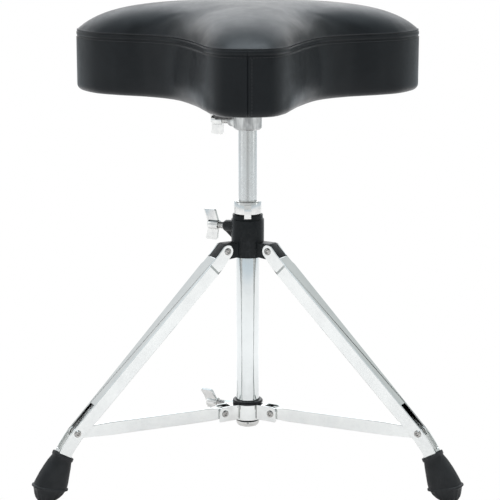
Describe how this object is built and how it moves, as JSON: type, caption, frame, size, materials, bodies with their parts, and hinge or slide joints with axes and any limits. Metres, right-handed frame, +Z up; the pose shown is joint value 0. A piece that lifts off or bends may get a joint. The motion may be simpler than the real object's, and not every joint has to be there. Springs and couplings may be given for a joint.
{
  "type": "drum throne",
  "caption": "Folding drum throne: a padded black saddle seat on a chrome height-adjustable post, held by a braced tripod with rubber feet.",
  "frame": {"origin": "middle of the box's bottom face, on the plane the feet stand on", "axes": "+Z up along the post; -Y towards the seat's nose; +X to the right for someone who faces the nose"},
  "size_m": [0.5072, 0.478, 0.5691],
  "materials": {
    "black_vinyl": "soft-sheen black vinyl with a fine grain",
    "seat_foam": "upholstery foam",
    "plywood": "raw plywood",
    "dust_cloth": "black nonwoven cloth",
    "black_steel": "black powder coat",
    "cast_zinc": "raw grey die casting",
    "zinc_bolt": "bright zinc plate",
    "chrome": "polished chrome plate",
    "nickel": "satin nickel plate",
    "black_cast": "satin black over a casting",
    "black_plastic": "moulded black nylon",
    "black_rubber": "black moulded rubber"
  },
  "bodies": {
    "base": {"lower_tube": "chrome", "hub": "black_cast", "hub_bushing": "black_plastic", "hub_pressure_pad": "zinc_bolt", "end_cap_ring": "black_rubber", "tube_end_cap": "chrome", "leg_pivot_rivet_rear": "zinc_bolt", "leg_pivot_rivet_front_left": "zinc_bolt", "leg_pivot_rivet_front_right": "zinc_bolt"},
    "hub_wing_bolt": {"hub_wing_bolt": "chrome"},
    "post": {"upper_post": "nickel", "post_end_plug": "black_plastic"},
    "memory_lock": {"memory_lock": "chrome", "memory_lock_key_bolt": "zinc_bolt"},
    "seat": {"seat_cover_top": "black_vinyl", "seat_welt": "black_vinyl", "seat_cover_band": "black_vinyl", "seat_foam": "seat_foam", "seat_board": "plywood", "seat_dust_cover": "dust_cloth", "seat_bracket": "black_steel", "seat_socket": "cast_zinc", "socket_clamp_shoe": "zinc_bolt", "bracket_bolt_1": "zinc_bolt", "bracket_bolt_2": "zinc_bolt", "bracket_bolt_3": "zinc_bolt", "bracket_bolt_4": "zinc_bolt"},
    "socket_wing_bolt": {"socket_wing_bolt": "chrome"},
    "brace_collar": {"brace_collar": "chrome", "collar_bushing": "black_plastic", "collar_pressure_pad": "zinc_bolt", "brace_pivot_rivet_rear": "zinc_bolt", "brace_pivot_rivet_front_left": "zinc_bolt", "brace_pivot_rivet_front_right": "zinc_bolt"},
    "collar_wing_bolt": {"collar_wing_bolt": "chrome"},
    "leg_rear": {"leg_rear": "chrome", "foot_rear": "black_rubber", "leg_brace_rivet_a_rear": "zinc_bolt", "leg_brace_rivet_b_rear": "zinc_bolt"},
    "brace_rear": {"brace_rear": "chrome"},
    "leg_front_left": {"leg_front_left": "chrome", "foot_front_left": "black_rubber", "leg_brace_rivet_a_front_left": "zinc_bolt", "leg_brace_rivet_b_front_left": "zinc_bolt"},
    "brace_front_left": {"brace_front_left": "chrome"},
    "leg_front_right": {"leg_front_right": "chrome", "foot_front_right": "black_rubber", "leg_brace_rivet_a_front_right": "zinc_bolt", "leg_brace_rivet_b_front_right": "zinc_bolt"},
    "brace_front_right": {"brace_front_right": "chrome"}
  },
  "joints": [
    {"name": "height_slide", "type": "slide", "parent": "base", "child": "post", "axis": [0, 0, 1], "range_m": [0, 0.12]},
    {"name": "memory_lock_slide", "type": "slide", "parent": "post", "child": "memory_lock", "axis": [0, 0, 1], "range_m": [0, 0.08]},
    {"name": "seat_swivel", "type": "hinge", "parent": "post", "child": "seat", "pos_m": [0, -0.05119, 0.435], "axis": [0, 0, 1], "continuous": true},
    {"name": "socket_wing_bolt_turn", "type": "hinge", "parent": "seat", "child": "socket_wing_bolt", "pos_m": [-0.02165, -0.03869, 0.4305], "axis": [-0.866, 0.5, 0], "continuous": true},
    {"name": "hub_wing_bolt_turn", "type": "hinge", "parent": "base", "child": "hub_wing_bolt", "pos_m": [-0.0278, -0.03514, 0.3], "axis": [-0.866, 0.5, 0], "continuous": true},
    {"name": "leg_rear_fold", "type": "hinge", "parent": "base", "child": "leg_rear", "pos_m": [0, -0.01779, 0.2758], "axis": [-1, 0, 0], "range_deg": [0, 30]},
    {"name": "leg_front_left_fold", "type": "hinge", "parent": "base", "child": "leg_front_left", "pos_m": [-0.02892, -0.06789, 0.2758], "axis": [0.5, -0.866, 0], "range_deg": [0, 30]},
    {"name": "leg_front_right_fold", "type": "hinge", "parent": "base", "child": "leg_front_right", "pos_m": [0.02892, -0.06789, 0.2758], "axis": [0.5, 0.866, 0], "range_deg": [0, 30]},
    {"name": "brace_collar_slide", "type": "slide", "parent": "base", "child": "brace_collar", "axis": [0, 0, 1], "range_m": [0, 0.118]},
    {"name": "brace_rear_fold", "type": "hinge", "parent": "brace_collar", "child": "brace_rear", "pos_m": [0, -0.01469, 0.0707], "axis": [-1, 0, 0], "range_deg": [0, 71.5]},
    {"name": "brace_front_left_fold", "type": "hinge", "parent": "brace_collar", "child": "brace_front_left", "pos_m": [-0.03161, -0.06944, 0.0707], "axis": [0.5, -0.866, 0], "range_deg": [0, 71.5]},
    {"name": "brace_front_right_fold", "type": "hinge", "parent": "brace_collar", "child": "brace_front_right", "pos_m": [0.03161, -0.06944, 0.0707], "axis": [0.5, 0.866, 0], "range_deg": [0, 71.5]},
    {"name": "collar_wing_bolt_turn", "type": "hinge", "parent": "brace_collar", "child": "collar_wing_bolt", "pos_m": [-0.02771, -0.03519, 0.0707], "axis": [-0.866, 0.5, 0], "continuous": true}
  ],
  "couplings": [
    {"joint": "leg_front_left_fold", "follows": "leg_rear_fold", "ratio": 1},
    {"joint": "leg_front_right_fold", "follows": "leg_rear_fold", "ratio": 1},
    {"joint": "brace_collar_slide", "follows": "leg_rear_fold", "m_per_rad": 0.22441},
    {"joint": "brace_rear_fold", "follows": "leg_rear_fold", "ratio": 2.3733},
    {"joint": "brace_front_left_fold", "follows": "leg_rear_fold", "ratio": 2.3733},
    {"joint": "brace_front_right_fold", "follows": "leg_rear_fold", "ratio": 2.3733}
  ]
}
